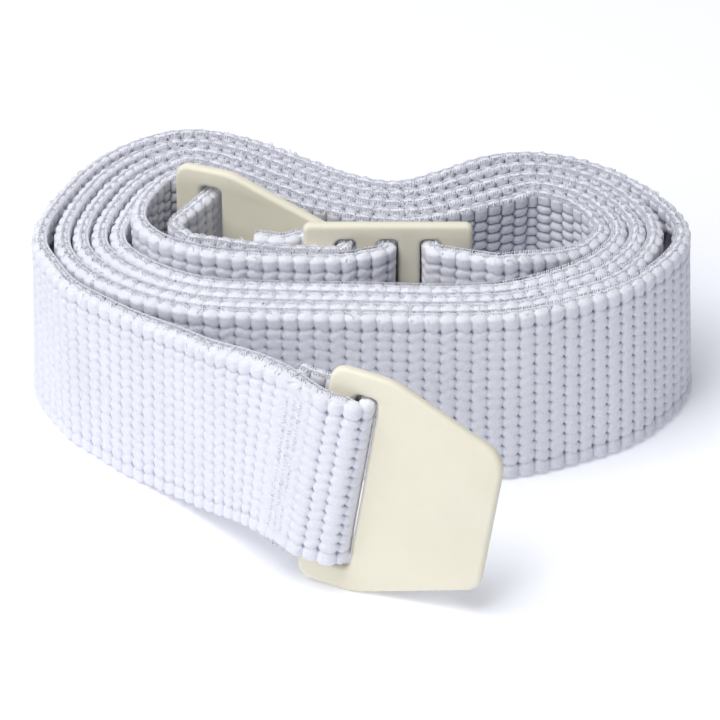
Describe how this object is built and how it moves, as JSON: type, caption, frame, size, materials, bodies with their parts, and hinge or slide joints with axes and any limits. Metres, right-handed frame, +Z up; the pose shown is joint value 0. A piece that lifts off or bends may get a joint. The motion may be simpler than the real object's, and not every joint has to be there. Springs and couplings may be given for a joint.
{
  "type": "elastic support belt with hook tabs",
  "caption": "Ribbed elastic webbing belt, coiled on its edge, with a moulded hook tab at each end and a slotted slide that sets its length.",
  "frame": {"origin": "middle of the coiled belt's footprint, on the surface that the webbing's lower edge stands on", "axes": "+X to the right along the coil's long side, +Y to the back, away from the outer tab, +Z up across the webbing's width"},
  "size_m": [0.0864, 0.0828, 0.0314],
  "materials": {
    "webbing": "matt ribbed elastic weave",
    "fitting": "satin moulded nylon, ivory",
    "thread": "matt twisted sewing thread"
  },
  "bodies": {
    "coil": {"webbing_coil": "webbing", "webbing_lead_in": "webbing", "webbing_inner_run": "webbing"},
    "free_end": {"webbing_free_run": "webbing", "outer_stitching": "thread"},
    "outer_tab": {"outer_hook_tab": "fitting"},
    "slide": {"slide_adjuster": "fitting", "webbing_slide_weave": "webbing", "webbing_tab_loop": "webbing", "inner_stitching": "thread"},
    "inner_tab": {"inner_hook_tab": "fitting"}
  },
  "joints": [
    {"name": "free_end_peel", "type": "hinge", "parent": "coil", "child": "free_end", "pos_m": [-0.0423, 0.00805, 0.0125], "axis": [0, 0, -1], "range_deg": [0, 25]},
    {"name": "outer_tab_swing", "type": "hinge", "parent": "free_end", "child": "outer_tab", "pos_m": [-0.0039, -0.0328, 0.01602], "axis": [0.1558, 0.064, 0.9857], "range_deg": [-6, 10]},
    {"name": "slide_travel", "type": "slide", "parent": "coil", "child": "slide", "axis": [1, 0, 0], "range_m": [0, 0.003]},
    {"name": "inner_tab_swing", "type": "hinge", "parent": "slide", "child": "inner_tab", "pos_m": [-0.02292, 0.01953, 0.0158], "axis": [0, 0, 1], "range_deg": [-2, 4]}
  ]
}
